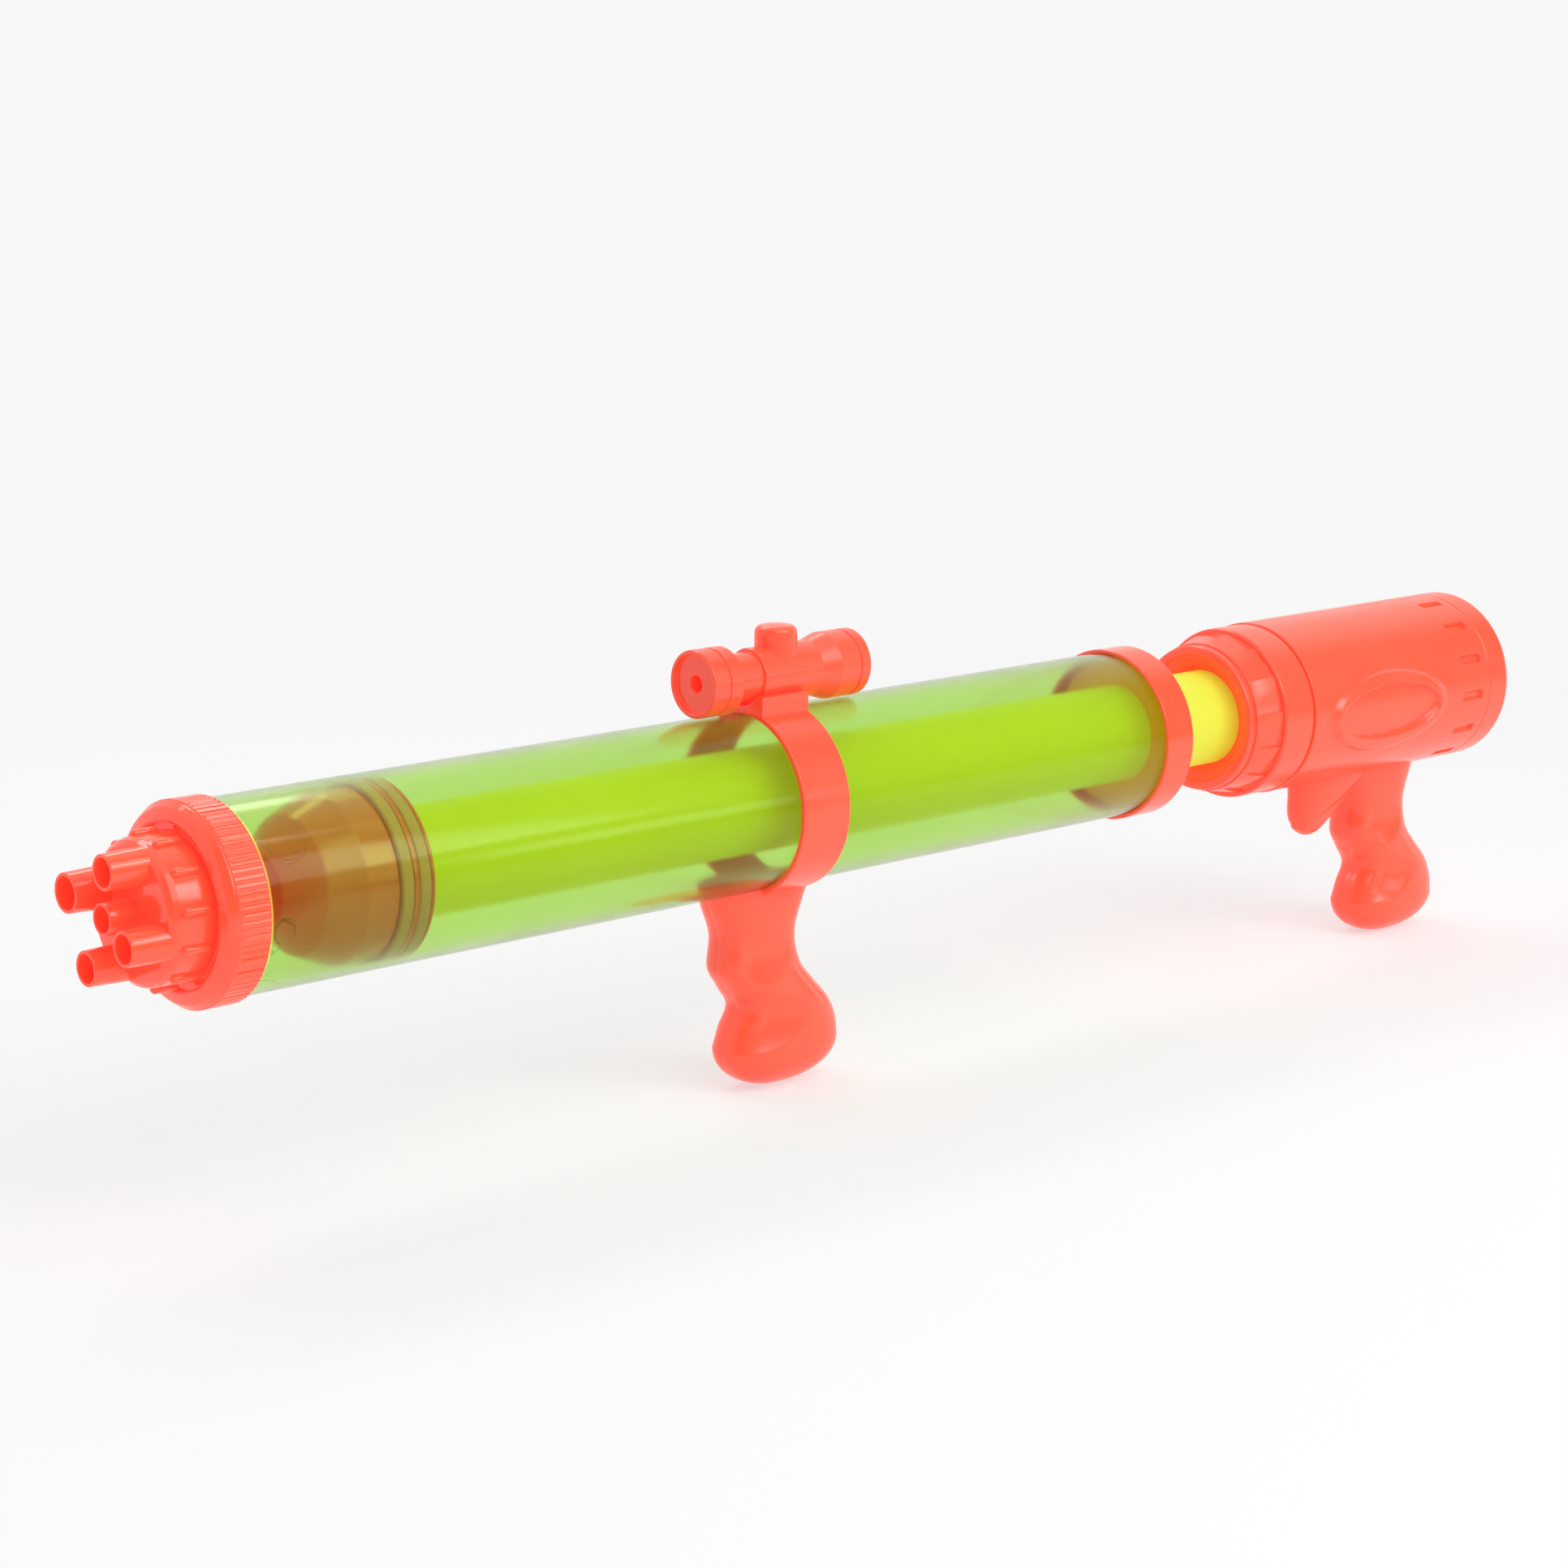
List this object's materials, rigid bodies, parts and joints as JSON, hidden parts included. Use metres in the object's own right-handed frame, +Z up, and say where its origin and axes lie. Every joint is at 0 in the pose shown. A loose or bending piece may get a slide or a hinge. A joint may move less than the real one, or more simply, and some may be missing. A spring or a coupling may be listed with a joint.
{
  "type": "water squirter",
  "caption": "Pump-action water squirter: clear barrel tube with a clustered nozzle head, a clamp-on foregrip and toy sight, and a plunger with a pistol handle that slides and turns.",
  "frame": {"origin": "centre of the middle jet's mouth, on the barrel's axis", "axes": "+X along the barrel from the nozzles to the handle, +Z up through the sight, the grips hang towards -Z"},
  "size_m": [0.6251, 0.0676, 0.1577],
  "materials": {
    "red_plastic": "smooth moulded, soft gloss",
    "clear_green_plastic": "clear green tube, lightly scratched",
    "yellow_plastic": "smooth extruded, soft gloss",
    "pale_rubber": "pale tan, smooth",
    "black_rubber": "matt",
    "steel": "zinc plated"
  },
  "bodies": {
    "barrel": {"barrel_tube": "clear_green_plastic", "nozzle_head": "red_plastic", "nozzle_collar": "red_plastic", "nozzle_gasket": "black_rubber", "foregrip_left": "red_plastic", "foregrip_right": "red_plastic", "foregrip_screws": "steel", "sight_body": "red_plastic", "rear_end_cap": "red_plastic", "rod_bush": "red_plastic"},
    "seals": {"piston_seal_front": "pale_rubber", "piston_seal_rear": "pale_rubber"},
    "plunger": {"plunger_rod": "yellow_plastic", "piston_body": "red_plastic", "piston_pin": "steel", "handle_nose": "red_plastic", "handle_left": "red_plastic", "handle_right": "red_plastic", "handle_end_cap": "red_plastic", "handle_screws": "steel", "handle_pin": "steel"}
  },
  "joints": [
    {"name": "plunger_slide", "type": "slide", "parent": "barrel", "child": "seals", "axis": [1, 0, 0], "range_m": [-0.035, 0.325]},
    {"name": "handle_turn", "type": "hinge", "parent": "seals", "child": "plunger", "pos_m": [0.09, 0, 0], "axis": [1, 0, 0], "continuous": true}
  ]
}
